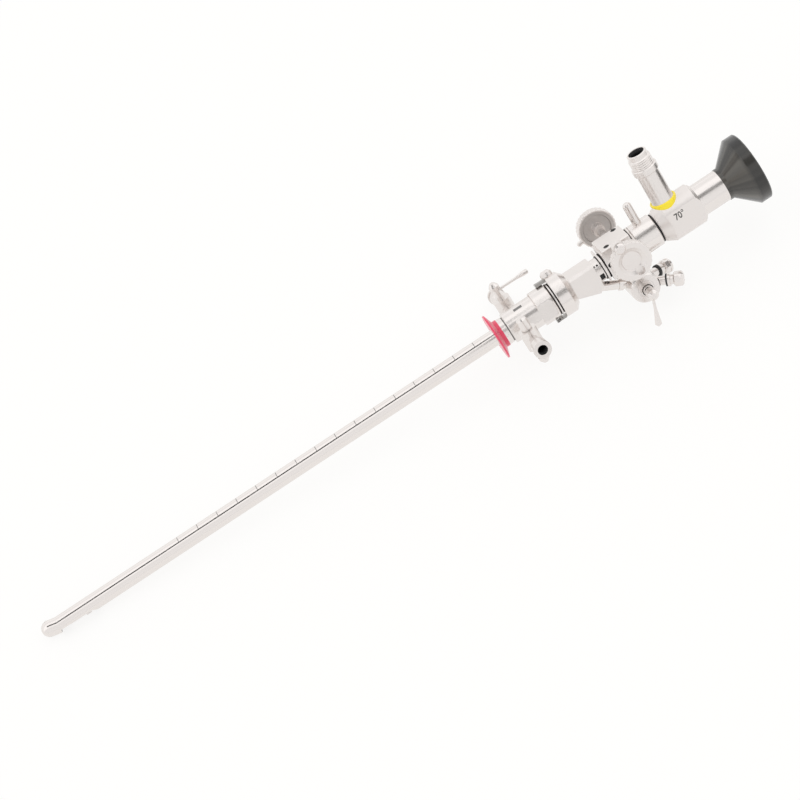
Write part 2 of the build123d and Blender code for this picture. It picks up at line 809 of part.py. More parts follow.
def make_near_peg():
    """The round thumb peg on the near wheel's face."""
    x = axle_x + peg_radius * cos(radians(near_peg_angle))
    z = axle_level + peg_radius * sin(radians(near_peg_angle))
    foot = wheel_outer - peg_foot + joined_gap
    top = foot + peg_height
    return turned_on((x, 0, z), (0, -1, 0), (foot, 0), (foot, peg_r), (top - peg_round, peg_r),
                     (top, peg_r - peg_round), (top, 0))


def make_far_peg(gap):
    """The thumb peg pressed into the far wheel's rim, larger all round by gap."""
    out = (cos(radians(far_peg_angle)), 0, sin(radians(far_peg_angle)))
    middle = (wheel_inner + wheel_outer) / 2
    tip = wheel_r + far_peg_out
    foot = wheel_r - far_peg_foot - gap
    return turned_on((axle_x, middle, axle_level), out, (foot, 0), (foot, far_peg_r + gap),
                     (tip - far_peg_round, far_peg_r + gap), (tip, far_peg_r - far_peg_round), (tip, 0))


def make_channel_tube():
    """The sloping tube from the bridge to the channel tap, with its collar."""
    solid = channel_bar(channel_start + joined_gap, drum_x, channel_od / 2)
    solid += channel_bar(channel_collar_x, channel_collar_x + channel_collar, channel_collar_r)
    solid -= channel_bar(channel_start - well_past, drum_x + well_past, channel_id / 2)
    return solid - across(drum_x, drum_level, -well_past, well_past, drum_r + joined_gap)


def port_axis(side):
    """The start and direction of a rear port; side is -1 for near and 1 for far."""
    x, y, z = port_direction
    return (drum_x, side * port_start_side, drum_level), (x, side * y, z)


def make_drum():
    """The channel tap's housing, bored for its plug, the channel and the two ports."""
    solid = turned_on((drum_x, 0, drum_level), (0, -1, 0), (-drum_far, 0), (-drum_far, drum_r - drum_edge),
                      (-drum_far + drum_edge, drum_r), (drum_near - drum_edge, drum_r),
                      (drum_near, drum_r - drum_edge), (drum_near, 0))
    solid -= across(drum_x, drum_level, -well_past, well_past, channel_plug_r + running_gap)
    solid -= channel_bar(channel_start, drum_x, channel_id / 2)
    for side in (-1, 1):
        start, aim = port_axis(side)
        solid -= turned_on(start, aim, (0, 0), (0, port_bore_r), (well_past, port_bore_r), (well_past, 0))
    return solid


def make_channel_plug():
    """The channel tap's plug with its neck ring, stem, cap and lever."""
    near = drum_near + face_gap
    foot = -drum_far - face_gap - channel_stem_end
    plug = turned_on((0, 0, 0), (0, -1, 0), (foot, 0), (foot, stem_thread_r), (-drum_far, stem_thread_r),
                     (-drum_far, channel_plug_r), (drum_near, channel_plug_r), (drum_near, channel_ring_r),
                     (channel_ring_end, channel_ring_r), (channel_ring_end, channel_stem_r),
                     (channel_cap_base, channel_stem_r), (channel_cap_base, channel_cap_r),
                     (channel_cap_end - channel_cap_round, channel_cap_r),
                     (channel_cap_end, channel_cap_r - channel_cap_round),
                     (channel_cap_end, 0))
    length = channel_lever_length
    angle = radians(channel_lever_angle)
    round_start = length - channel_lever_round
    lever = turned_on((0, -channel_lever_level, 0), (cos(angle), 0, sin(angle)), (0, 0),
                      (0, channel_lever_r), (channel_lever_taper, channel_lever_r),
                      (round_start, channel_lever_end_r), (length, channel_lever_end_r - channel_lever_round),
                      (length, 0))
    bores = along(-channel_plug_r - past, 0, port_bore_r)
    for side in (-1, 1):
        aim = (port_direction[0], side * port_direction[1], port_direction[2])
        bores += turned_on((0, side * port_start_side, 0), aim, (-port_bore_r / 2, 0),
                           (-port_bore_r / 2, port_bore_r), (2 * channel_plug_r, port_bore_r),
                           (2 * channel_plug_r, 0))
    bores += across(0, 0, -port_start_side, port_start_side, port_bore_r)
    return Pos(drum_x, 0, drum_level) * (plug + lever - bores)


def make_channel_nut():
    """The nut on the far end of the channel tap's plug."""
    start = drum_far + face_gap
    end = start + channel_nut
    bore = stem_thread_r + joined_gap
    bore_end = start + channel_stem_end + joined_gap
    return turned_on((drum_x, 0, drum_level), (0, 1, 0), (start, bore), (start, channel_nut_r),
                     (end - channel_nut_edge, channel_nut_r), (end, channel_nut_r - channel_nut_edge),
                     (end, 0), (bore_end, 0), (bore_end, bore))


def make_port(side):
    """A rear port: a bored tube with a shoulder and a threaded end for its cap."""
    start, aim = port_axis(side)
    solid = turned_on(start, aim, (port_start, port_bore_r), (port_start, port_r), (port_shoulder, port_r),
                      (port_shoulder, port_thread_r), (port_end, port_thread_r), (port_end, port_bore_r))
    return solid - across(drum_x, drum_level, -well_past, well_past, drum_r + joined_gap)


def make_washer(side):
    """The rubber washer between a port's shoulder and its cap."""
    start, aim = port_axis(side)
    bore = port_thread_r + joined_gap
    low = port_shoulder + joined_gap
    high = port_shoulder + washer
    return turned_on(start, aim, (low, bore), (low, washer_r), (high, washer_r), (high, bore))


def make_cap(side):
    """A port's sealing cap: a flange, a waist and a six-sided head with a small hole for the instrument."""
    start, aim = port_axis(side)
    base = port_shoulder + washer + joined_gap
    bore = port_thread_r + joined_gap
    floor = port_end + port_seal + 2 * joined_gap
    flange_end = base + cap_flange
    edge_r = cap_r - cap_edge
    cap = turned_on(start, aim, (base, bore), (base, cap_flange_r), (flange_end, cap_flange_r),
                    (flange_end, cap_waist_r), (cap_waist_end, cap_waist_r), (cap_waist_end, edge_r),
                    (cap_waist_end + cap_edge, cap_r), (cap_end - cap_edge, cap_r), (cap_end, edge_r),
                    (cap_end, cap_hole_r + cap_funnel), (cap_end - cap_funnel, cap_hole_r),
                    (floor, cap_hole_r), (floor, bore))
    hexagon = extrude(RegularPolygon(cap_r * cap_corner, 6), cap_end)
    flats = Plane(origin=start, z_dir=Vector(*aim)) * hexagon
    end = turned_on(start, aim, (cap_end - cap_lip, 0), (cap_end - cap_lip, cap_r + past),
                    (cap_end + past, cap_r + past), (cap_end + past, 0))
    return cap & (flats + end)


def make_port_seal(side):
    """The rubber disc under a port's cap."""
    start, aim = port_axis(side)
    low = port_end + joined_gap
    return turned_on(start, aim, (low, port_seal_hole_r), (low, port_thread_r),
                     (low + port_seal, port_thread_r), (low + port_seal, port_seal_hole_r))


def make_sleeve():
    """The turning sleeve that locks the telescope in the bridge."""
    bore = receiver_r + running_gap
    end = sleeve_x + sleeve_length
    sleeve = turned((sleeve_x, bore), (sleeve_x, sleeve_r - edge_break), (sleeve_x + edge_break, sleeve_r),
                    (end - edge_break, sleeve_r), (end, sleeve_r - edge_break), (end, bore))
    x = sleeve_x + lock_pin_inset
    hole = bar((x, 0, receiver_r + lock_pin_foot), (x, 0, sleeve_r + past), lock_pin_r + joined_gap)
    return Pos(0, 0, guide_level) * (sleeve - hole)


def make_lock_pin():
    """The round-ended lever pin pressed into the sleeve."""
    x = sleeve_x + lock_pin_inset
    foot = guide_level + receiver_r + lock_pin_foot + joined_gap
    crown = [(lock_pin_top - low, lock_pin_r - inset) for low, inset in lock_pin_crown]
    return turned_on((x, 0, 0), (0, 0, 1), (foot, 0), (foot, lock_pin_r), *crown, (lock_pin_top, 0))


def tip_cutter(depth):
    """The room in front of the telescope's sloping tip face, moved back by depth."""
    lean = radians(90 - view_angle)
    low = guide_level - scope_r
    foot = scope_tip + tip_slope
    slope = Plane(origin=(foot, 0, low + depth), x_dir=(-cos(lean), 0, sin(lean)), z_dir=(0, 1, 0))
    outline = make_face(Polyline((-well_past, 0), (well_past, 0), (well_past, -well_past),
                                 (-well_past, -well_past), close=True))
    return slope * extrude(outline, well_past, both=True)


def make_scope_shaft():
    """The telescope's outer tube, cut on a slope at the tip for its sideways view."""
    end = scope_body_x + shaft_seat
    tube = along(scope_tip, end, scope_r, guide_level)
    tube -= along(scope_tip + tip_wall, end + past, scope_r - scope_wall, guide_level)
    return tube - tip_cutter(0)


def make_distal_window():
    """The sapphire window that closes the sloping tip."""
    start = scope_tip + tip_wall + joined_gap
    end = scope_tip + optics_inset - joined_gap
    glass = along(start, end, scope_r - scope_wall - joined_gap, guide_level)
    return (glass - tip_cutter(0)) & tip_cutter(distal_glass)


def make_inner_tube():
    """The optical tube inside the shaft."""
    start = scope_tip + optics_inset
    end = scope_body_x + shaft_seat
    tube = along(start, end, inner_tube_r, guide_level)
    return tube - along(start - past, end + past, inner_tube_r - inner_tube_wall, guide_level)


def make_fibres():
    """The bundle of light fibres round the optical tube, as one solid sleeve."""
    start = scope_tip + optics_inset
    end = scope_body_x + shaft_seat
    outer = along(start, end, scope_r - scope_wall - joined_gap, guide_level)
    return outer - along(start - past, end + past, inner_tube_r + fibre_gap, guide_level)


def make_rod_lenses():
    """The train of glass rod lenses."""
    start = scope_tip + rods_inset
    length = (scope_body_x + rods_seat - start - (rod_count - 1) * rod_space) / rod_count
    radius = inner_tube_r - inner_tube_wall - joined_gap
    pitch = length + rod_space
    return [along(start + n * pitch, start + n * pitch + length, radius, guide_level)
            for n in range(rod_count)]


def make_scope_body():
    """The telescope's body, turned, milled flat on both sides and bored."""
    end = scope_body_end
    front = scope_body_x
    body = turned((front, 0), (front, scope_front_r - scope_front_edge),
                  (front + scope_front_edge, scope_front_r),
                  (front + scope_cone, scope_body_r), (end - scope_rear_cone, scope_body_r),
                  (end, scope_rear_r), (end, 0))
    for side in (-1, 1):
        near, far = sorted((side * scope_flat, side * (scope_body_r + past)))
        body -= block((front + scope_cone, end + past), (near, far), (-well_past, well_past))
    spigot_x = sleeve_x + sleeve_length - receiver_short - spigot_length + joined_gap
    body += along(spigot_x, front + past, spigot_r)
    body -= along(0, front + shaft_seat + face_gap, scope_r + joined_gap)
    body -= along(front, end + past, scope_bore_r)
    body -= along(end - eyepiece_seat, end + past, eyepiece_front_r + joined_gap)
    body = Pos(0, 0, guide_level) * body
    body -= bar((post_x, 0, guide_level), (post_x, 0, post_top), light_guide_r + joined_gap)
    return body - bar((post_x, 0, post_base - joined_gap), (post_x, 0, post_top), post_r + joined_gap)


def make_post_ring():
    """The coloured ring at the foot of the light post."""
    ring = bar((post_x, 0, post_ring_base), (post_x, 0, post_ring_top), post_ring_r)
    ring -= bar((post_x, 0, 0), (post_x, 0, post_ring_top + past), post_r + joined_gap)
    ring = chamfer(ring.edges().group_by(Axis.Z)[-1], post_ring_edge)
    return ring - along(scope_body_x, scope_body_end, scope_body_r + joined_gap, guide_level)


def make_post():
    """The light post, a bored tube set into the telescope's body."""
    post = bar((post_x, 0, post_base), (post_x, 0, post_top), post_r)
    return post - bar((post_x, 0, 0), (post_x, 0, post_top + past), light_guide_r + joined_gap)


def make_adapter():
    """The light cable's adapter, screwed onto the post: a flange, a grooved neck and a lip."""
    base = post_top + joined_gap
    bore = light_guide_r + joined_gap
    groove = adapter_groove
    points = [(base, bore), (base, adapter_r - adapter_edge), (base + adapter_edge, adapter_r),
              (adapter_top - adapter_edge, adapter_r), (adapter_top, adapter_r - adapter_edge),
              (adapter_top, adapter_neck_r)]
    pitch = (adapter_neck_top - adapter_top) / adapter_ribs
    for rib in range(adapter_ribs):
        end = adapter_top + (rib + 1) * pitch
        points += [(end - groove, adapter_neck_r), (end - groove / 2, adapter_neck_r - groove / 2),
                   (end, adapter_neck_r)]
    lip = adapter_top_end - adapter_lip_edge
    floor = adapter_top_end - adapter_depth
    points += [(adapter_neck_top + adapter_lip_cone, adapter_lip_r), (lip, adapter_lip_r),
               (adapter_top_end, adapter_lip_r - adapter_lip_edge), (adapter_top_end, adapter_mouth_r),
               (floor, adapter_floor_r), (floor, bore)]
    return turned_on((post_x, 0, 0), (0, 0, 1), *points)


def make_light_guide():
    """The glass fibre guide that carries light down the post."""
    top = adapter_top_end - adapter_depth + light_guide_out
    return bar((post_x, 0, guide_level + light_guide_foot), (post_x, 0, top), light_guide_r)


def make_eyepiece_tube():
    """The eyepiece tube, seated in the telescope's body."""
    seat = scope_body_end - eyepiece_seat + joined_gap
    end = cup_x + cup_seat
    return Pos(0, 0, guide_level) * turned(
        (seat, eyepiece_bore_r), (seat, eyepiece_front_r), (scope_body_end + joined_gap, eyepiece_front_r),
        (scope_body_end + joined_gap, eyepiece_r), (cup_x - joined_gap, eyepiece_r),
        (cup_x - joined_gap, eyepiece_rear_r), (end, eyepiece_rear_r), (end, eyepiece_bore_r))


def make_ocular():
    """The eyepiece lens, a biconvex disc in the eyepiece tube."""
    middle = cup_x - ocular_inset
    rim = eyepiece_bore_r - joined_gap
    half = ocular / 2
    sag = half - ocular_edge / 2
    reach = (rim ** 2 + sag ** 2) / (2 * sag)
    ball = Rot(0, 90, 0) * Sphere(reach)
    lens = along(middle - half, middle + half, rim, guide_level)
    for shift in (reach - half, half - reach):
        lens = lens & (Pos(middle + shift, 0, guide_level) * ball)
    return lens


def make_ocular_window():
    """The flat glass at the bottom of the eyecup."""
    start = cup_x + cup_seat + joined_gap
    return along(start, start + window_glass, ocular_r, guide_level)


def make_eyecup():
    """The moulded eyecup: a short neck, a wide cone and an upright rim."""
    seat = cup_x + cup_seat
    glass_end = seat + window_glass + 2 * joined_gap
    cone = cup_x + cup_neck + cup_cone
    return Pos(0, 0, guide_level) * turned(
        (cup_x, eyepiece_rear_r + joined_gap), (cup_x, cup_neck_r), (cup_x + cup_neck, cup_neck_r),
        (cone, cup_r), (cup_end - cup_edge, cup_r), (cup_end, cup_r - cup_edge), (cup_end, cup_r - cup_wall),
        (cone + cup_edge, cup_r - cup_funnel_wall), (glass_end + cup_throat, cup_throat_r),
        (glass_end, cup_throat_r), (glass_end, ocular_r + joined_gap),
        (seat + joined_gap, ocular_r + joined_gap), (seat + joined_gap, eyepiece_rear_r + joined_gap))


def make_nodes():
    """Every piece of the instrument by name, as drawn along X."""
    far_housing = make_tap_housing()
    far_nut = make_tap_nut()
    far_wheel = Rot(0, 0, 180) * Pos(-2 * axle_x, 0, 0) * make_wheel(False) - make_far_peg(joined_gap)
    return {
        "sheath_tube": make_sheath(),
        "size_collar": make_collar(),
        "sheath_hub": make_hub(),
        "hub_studs": stud_places(0),
        "far_tap_housing": far_housing,
        "near_tap_housing": about_x(far_housing, 180),
        "far_tap_plug": make_tap_plug(0),
        "near_tap_plug": about_x(make_tap_plug(near_lever_turn), 180),
        "far_tap_nut": far_nut,
        "near_tap_nut": about_x(far_nut, 180),
        "hub_seal": make_seal(),
        "lock_ring": make_lock_ring(),
        "lock_catches": make_catches(),
        "lock_knob": make_knob(),
        "bridge_body": make_bridge_body(),
        "clamp_plate": make_plate(),
        "bridge_block": make_block(),
        "block_screws": make_screws(),
        "guide_tube": make_guide(),
        "elevator": make_elevator(),
        "elevator_pin": across(elevator_x, elevator_level, -lug_half_width, lug_half_width,
                               elevator_pin_r),
        "control_rods": make_rods(),
        "rod_yoke": make_yoke(),
        "rack": make_rack(),
        "axle": make_axle(),
        "near_wheel": make_wheel(True),
        "far_wheel": far_wheel,
        "near_peg": make_near_peg(),
        "far_peg": make_far_peg(0),
        "channel_tube": make_channel_tube(),
        "channel_drum": make_drum(),
        "channel_plug": make_channel_plug(),
        "channel_nut": make_channel_nut(),
        "near_port": make_port(-1),
        "far_port": make_port(1),
        "near_port_cap": make_cap(-1),
        "far_port_cap": make_cap(1),
        "port_seals": [make_port_seal(-1), make_port_seal(1)],
        "port_washers": [make_washer(-1), make_washer(1)],
        "scope_sleeve": make_sleeve(),
        "scope_lock_pin": make_lock_pin(),
        "scope_shaft": make_scope_shaft(),
        "distal_window": make_distal_window(),
        "inner_tube": make_inner_tube(),
        "light_fibres": make_fibres(),
        "rod_lenses": make_rod_lenses(),
        "scope_body": make_scope_body(),
        "post_ring": make_post_ring(),
        "light_post": make_post(),
        "post_adapter": make_adapter(),
        "light_guide": make_light_guide(),
        "eyepiece_tube": make_eyepiece_tube(),
        "ocular_lens": make_ocular(),
        "ocular_window": make_ocular_window(),
        "eyecup": make_eyecup(),
    }


def as_one(piece):
    """A single shape for export, from a shape or a list of separate ones."""
    if isinstance(piece, list):
        return Compound([solid for part in piece for solid in part.solids()])
    return piece


def lowest(centre, axis, radius, up):
    """The lowest point of a rim about axis, or of a ball where axis is None."""
    down = -up if axis is None else -(up - axis * up.dot(axis))
    return centre + down.normalized() * radius


def rest_up():
    """The upward direction when the tip, the far Luer rim and the far port's cap touch down."""
    start, aim = port_axis(1)
    cap_axis = Vector(*aim).normalized()
    rims = [
        (Vector(beak_length, 0, 0), None, tube_r),
        (Vector(tap_x, tap_reach + luer_length, 0), Vector(0, 1, 0), luer_lip_r),
        (Vector(*start) + cap_axis * (cap_end - cap_edge), cap_axis, cap_r),
    ]
    up = Vector(0, -0.5, 0.85)
    for turn in range(30):
        tip, luer, cap = [lowest(centre, axis, radius, up) for centre, axis, radius in rims]
        up = (cap - tip).cross(luer - tip).normalized()
    return up


def rest_turn():
    """The turn that brings that direction upright, with the instrument's axis above X."""
    up = rest_up()
    forward = Vector(1, 0, 0) - up * up.X
    return Plane(origin=(0, 0, 0), x_dir=forward, z_dir=up).location.inverse()


def rest_place(shapes):
    """The turn, and the shift that puts the origin under the middle of the instrument."""
    turn = rest_turn()
    boxes = [(turn * shape).bounding_box() for shape in shapes]
    middle_x = (min(box.min.X for box in boxes) + max(box.max.X for box in boxes)) / 2
    middle_y = (min(box.min.Y for box in boxes) + max(box.max.Y for box in boxes)) / 2
    return Pos(-middle_x, -middle_y, -min(box.min.Z for box in boxes)) * turn


def main():
    os.makedirs("parts", exist_ok=True)
    shapes = {name: as_one(piece) for name, piece in make_nodes().items()}
    place = rest_place(list(shapes.values()))
    for name, shape in shapes.items():
        resting = place * shape
        resting.label = name
        export_step(resting, f"parts/{name}.step")


main()
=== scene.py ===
import json
import math

import bpy
from mathutils import Matrix, Vector


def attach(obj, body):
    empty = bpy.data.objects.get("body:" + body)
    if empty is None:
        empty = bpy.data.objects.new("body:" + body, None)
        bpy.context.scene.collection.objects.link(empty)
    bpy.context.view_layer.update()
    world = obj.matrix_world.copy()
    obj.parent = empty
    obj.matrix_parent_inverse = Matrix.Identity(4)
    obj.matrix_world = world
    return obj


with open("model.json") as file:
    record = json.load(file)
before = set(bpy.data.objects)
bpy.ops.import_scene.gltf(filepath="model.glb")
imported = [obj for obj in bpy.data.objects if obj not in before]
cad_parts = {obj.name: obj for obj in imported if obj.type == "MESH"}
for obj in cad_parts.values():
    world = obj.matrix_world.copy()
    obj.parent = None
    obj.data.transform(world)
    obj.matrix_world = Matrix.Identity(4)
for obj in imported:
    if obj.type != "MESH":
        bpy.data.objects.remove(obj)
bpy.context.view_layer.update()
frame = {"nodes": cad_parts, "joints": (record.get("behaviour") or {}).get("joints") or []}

# The instrument's own axes. It lies a little tilted on the floor, so every detail is drawn along the
# sheath from its tip, with X to the eyecup, Y to the far side and Z to the light post, and then laid down.
mm = 0.001
tap_x = 241.5
hinge = {joint["name"]: joint for joint in frame["joints"]}
lengthwise = Vector(hinge["lock_turn"]["axis"])
sideways = Vector(hinge["wheel_turn"]["axis"])
postwise = Vector(hinge["near_tap_turn"]["axis"])
near_tap_place = Vector(hinge["near_tap_turn"]["pos_m"])
far_tap_place = Vector(hinge["far_tap_turn"]["pos_m"])
tip = (near_tap_place + far_tap_place) / 2 - tap_x * mm * lengthwise
laid_down = Matrix((lengthwise, sideways, postwise)).transposed().to_4x4()
laid_down.translation = tip


def laid(x, y, z):
    """A place given in millimetres along the instrument's own axes, in the room."""
    return laid_down @ (Vector((x, y, z)) * mm)


def in_room(name, data):
    """A new object with this data, in the scene."""
    thing = bpy.data.objects.new(name, data)
    bpy.context.scene.collection.objects.link(thing)
    return thing


# The camera looks down on the near side from between the side and the top, with the instrument rising
# to the right. Its long lens keeps the sheath's far end nearly as large as the near one.
aim_x = 181.2
aim = laid(aim_x, 0, 0)
camera_distance = 1.0
lens_mm = 106.0
camera_side = 0.9063
camera_height = 0.4226
across_share = 0.8351
along_share = 0.5501
towards_camera = camera_height * postwise - camera_side * sideways
over_instrument = camera_side * postwise + camera_height * sideways
picture_right = across_share * lengthwise - along_share * over_instrument
picture_up = along_share * lengthwise + across_share * over_instrument
camera_turn = Matrix((picture_right, picture_up, towards_camera)).transposed().to_4x4()
camera = in_room("camera", bpy.data.cameras.new("camera"))
camera.matrix_world = Matrix.Translation(aim + camera_distance * towards_camera) @ camera_turn
camera.data.sensor_width = 36.0
camera.data.lens = lens_mm
camera.data.clip_start = 0.01
bpy.context.scene.camera = camera
bpy.context.scene.view_settings.view_transform = "Standard"


# Short ways to the nodes that the room, the materials and the geometry trees share.
def wire(tree, *pairs):
    """Joins each pair of an output and an input."""
    for source, target in pairs:
        tree.links.new(source, target)


def number_math(tree, operation, second=None, kind="ShaderNodeMath"):
    """A node that does one operation, with its second value where that is fixed."""
    node = tree.nodes.new(kind)
    node.operation = operation
    if second is not None:
        node.inputs[1].default_value = second
    return node


def vector_math(tree, operation, second=None):
    """The same for vectors."""
    return number_math(tree, operation, second, "ShaderNodeVectorMath")


def rescaled(tree, source, target):
    """A node that maps one range of numbers on another."""
    node = tree.nodes.new("ShaderNodeMapRange")
    node.inputs["From Min"].default_value, node.inputs["From Max"].default_value = source
    node.inputs["To Min"].default_value, node.inputs["To Max"].default_value = target
    return node


def noise(tree, scale, detail=2.0):
    """Noise of this scale and detail."""
    node = tree.nodes.new("ShaderNodeTexNoise")
    node.inputs["Scale"].default_value = scale
    node.inputs["Detail"].default_value = detail
    return node


def bump(tree, strength, depth):
    """A relief of this depth in millimetres."""
    node = tree.nodes.new("ShaderNodeBump")
    node.inputs["Strength"].default_value = strength
    node.inputs["Distance"].default_value = depth * mm
    return node


def two_tones(tree, *steps):
    """A ramp between two colours, each given after its place on the ramp."""
    node = tree.nodes.new("ShaderNodeValToRGB")
    for element, (place, colour) in zip(node.color_ramp.elements, steps):
        element.position = place
        element.color = (*colour, 1.0)
    return node


def own_axes_of(tree, origin):
    """Object coordinates turned into metres along the instrument's own axes from this origin."""
    place = tree.nodes.new("ShaderNodeTexCoord")
    own_axes = tree.nodes.new("ShaderNodeMapping")
    own_axes.name = "own axes"
    own_axes.vector_type = "TEXTURE"
    own_axes.inputs["Location"].default_value = origin
    own_axes.inputs["Rotation"].default_value = laid_down.to_euler()
    wire(tree, (place.outputs["Object"], own_axes.inputs["Vector"]))
    return own_axes


def new_material(name):
    """A new material, its node tree and its shader."""
    material = bpy.data.materials.new(name)
    material.use_nodes = True
    return material, material.node_tree, material.node_tree.nodes["Principled BSDF"]


# The room is a white tent: the light is strongest overhead, and greyest at the front near the horizon.
# Each step is an elevation, from the front over the top to the back, and its brightness.
tent = (
    (-180.0, 0.97),
    (-4.0, 0.97),
    (4.0, 0.92),
    (14.0, 0.99),
    (58.0, 0.96),
    (76.0, 1.2),
    (120.0, 1.22),
    (136.0, 1.02),
    (152.0, 1.05),
    (166.0, 1.14),
    (180.0, 0.97),
)
brightest = max(level for angle, level in tent)
world = bpy.data.worlds.new("tent")
bpy.context.scene.world = world
world.use_nodes = True
sky_tree = world.node_tree
sky_tree.nodes.clear()
direction = sky_tree.nodes.new("ShaderNodeTexCoord")
parts_of_direction = sky_tree.nodes.new("ShaderNodeSeparateXYZ")
front = number_math(sky_tree, "MULTIPLY", -1.0)
elevation = number_math(sky_tree, "ARCTAN2")
turn_share = rescaled(sky_tree, (-math.pi, math.pi), (0.0, 1.0))
brightness = sky_tree.nodes.new("ShaderNodeValToRGB")
brightness.color_ramp.interpolation = "EASE"
while len(brightness.color_ramp.elements) < len(tent):
    brightness.color_ramp.elements.new(0.5)
for step, (angle, level) in zip(brightness.color_ramp.elements, tent):
    step.position = (angle + 180.0) / 360.0
    step.color = [level / brightest] * 3 + [1.0]
sky = sky_tree.nodes.new("ShaderNodeBackground")
sky.inputs["Strength"].default_value = brightest
room = sky_tree.nodes.new("ShaderNodeOutputWorld")
wire(
    sky_tree,
    (direction.outputs["Generated"], parts_of_direction.inputs[0]),
    (parts_of_direction.outputs["Y"], front.inputs[0]),
    (parts_of_direction.outputs["Z"], elevation.inputs[0]),
    (front.outputs[0], elevation.inputs[1]),
    (elevation.outputs[0], turn_share.inputs["Value"]),
    (turn_share.outputs["Result"], brightness.inputs["Fac"]),
    (brightness.outputs["Color"], sky.inputs["Color"]),
    (sky.outputs[0], room.inputs["Surface"]),
)


def room_sheet(name, corners, colour, glow):
    """A flat sheet of the studio, such as the floor or a card, which isn't part of the instrument."""
    mesh = bpy.data.meshes.new(name)
    mesh.from_pydata([tuple(c) for c in corners], [], [tuple(range(len(corners)))])
    sheet = in_room(name, mesh)
    paper, _, face = new_material(name)
    face.inputs["Base Color"].default_value = (*colour, 1.0)
    face.inputs["Roughness"].default_value = 1.0
    face.inputs["Specular IOR Level"].default_value = 0.0
    face.inputs["Emission Color"].default_value = (1.0, 0.995, 0.985, 1.0)
    face.inputs["Emission Strength"].default_value = glow
    mesh.materials.append(paper)
    return sheet


# The floor is like white paper lit from behind. It glows more than it reflects, so it stays nearly as
# bright under the instrument.
floor_reach = 6.0
floor_glow = 0.85
floor_colour = (0.14, 0.139, 0.137)
floor_corners = [(x * floor_reach, y * floor_reach, 0.0) for x, y in ((-1, -1), (1, -1), (1, 1), (-1, 1))]
room_sheet("floor", floor_corners, floor_colour, floor_glow)

# Dark and grey cards, seen only in reflections. A black one high above the camera draws the dark line down
# the sheath. Grey ones near the camera's height draw the soft bands on the hub and the bridge, and on the
# lock sleeve and the eyepiece, and a low one draws a dip on the hub. Each has its turn from the camera to its
# two edges, the stations along the instrument, in millimetres, that it shows in, and its glow. Its ends are
# moved out, for the camera's perspective.
cards = {
    "line_card": (30.0, 46.0, -10.0, 234.0, 0.0),
    "band_card": (-9.0, 16.0, 225.0, 285.0, 0.3),
    "dip_card": (-50.0, -46.0, 232.0, 264.0, 0.6),
    "rear_band_card": (4.0, 29.0, 288.0, 375.0, 0.22),
}
card_distance = 300.0
card_colour = (0.02, 0.02, 0.02)
for card_name, (low_turn, high_turn, first_x, last_x, card_glow) in cards.items():
    start, stop = [x + (x - aim_x) * card_distance * mm / camera_distance for x in (first_x, last_x)]
    low, high = [
        card_distance * mm * (math.cos(edge) * towards_camera + math.sin(edge) * over_instrument)
        for edge in (math.radians(low_turn), math.radians(high_turn))
    ]
    round_card = ((start, low), (stop, low), (stop, high), (start, high))
    card = room_sheet(card_name, [laid(x, 0, 0) + edge for x, edge in round_card], card_colour, card_glow)
    card.visible_camera = False
    card.visible_diffuse = False
    card.visible_shadow = False
    card.visible_transmission = False


# The steels. Each has its own smoothness and grain, and most have the same colour.
def steel(name, colour, smooth, rough, grain, relief):
    """Stainless steel whose fine grain is stretched by three sizes per metre along the instrument's axes."""
    metal, tree, face = new_material(name)
    face.inputs["Base Color"].default_value = (*colour, 1.0)
    face.inputs["Metallic"].default_value = 1.0
    own_axes = own_axes_of(tree, laid_down.translation)
    stretched = tree.nodes.new("ShaderNodeMapping")
    stretched.inputs["Scale"].default_value = grain
    strokes = noise(tree, 1.0, detail=3.0)
    clouds = noise(tree, 140.0)
    both = number_math(tree, "MULTIPLY")
    polish = rescaled(tree, (0.1, 0.4), (smooth, rough))
    scratches = bump(tree, relief, depth=0.02)
    wire(
        tree,
        (own_axes.outputs["Vector"], stretched.inputs["Vector"]),
        (stretched.outputs["Vector"], strokes.inputs["Vector"]),
        (own_axes.outputs["Vector"], clouds.inputs["Vector"]),
        (strokes.outputs["Fac"], both.inputs[0]),
        (clouds.outputs["Fac"], both.inputs[1]),
        (both.outputs[0], polish.inputs["Value"]),
        (polish.outputs["Result"], face.inputs["Roughness"]),
        (strokes.outputs["Fac"], scratches.inputs["Height"]),
        (scratches.outputs["Normal"], face.inputs["Normal"]),
    )
    return metal


def finish(material, *names):
    """Gives these pieces of the part that material."""
    for name in names:
        frame["nodes"][name].data.materials[0] = material


# The sheath is a drawn stainless tube, ground and polished lengthwise, so its streaks run along it. The
# other tubes, the telescope's shaft and the control rods are drawn too.
steel_colour = (0.805, 0.762, 0.737)
drawn_grain = (60.0, 4000.0, 4000.0)
drawn_tube = steel("drawn_tube", steel_colour, smooth=0.1, rough=0.18, grain=drawn_grain, relief=0.1)
finish(drawn_tube, "sheath_tube", "guide_tube", "channel_tube", "scope_shaft", "inner_tube", "control_rods")

# The hub, the lock ring, the lock sleeve, the eyepiece tube, the yoke, the axle and the lever's pin are
# turned from bar and polished round their axis.
turned_grain = (7000.0, 60.0, 60.0)
turned_steel = steel("turned_steel", steel_colour, smooth=0.19, rough=0.27, grain=turned_grain, relief=0.06)
finish(turned_steel, "sheath_hub", "lock_ring", "eyepiece_tube", "scope_sleeve", "rod_yoke", "axle")
finish(turned_steel, "elevator_pin")


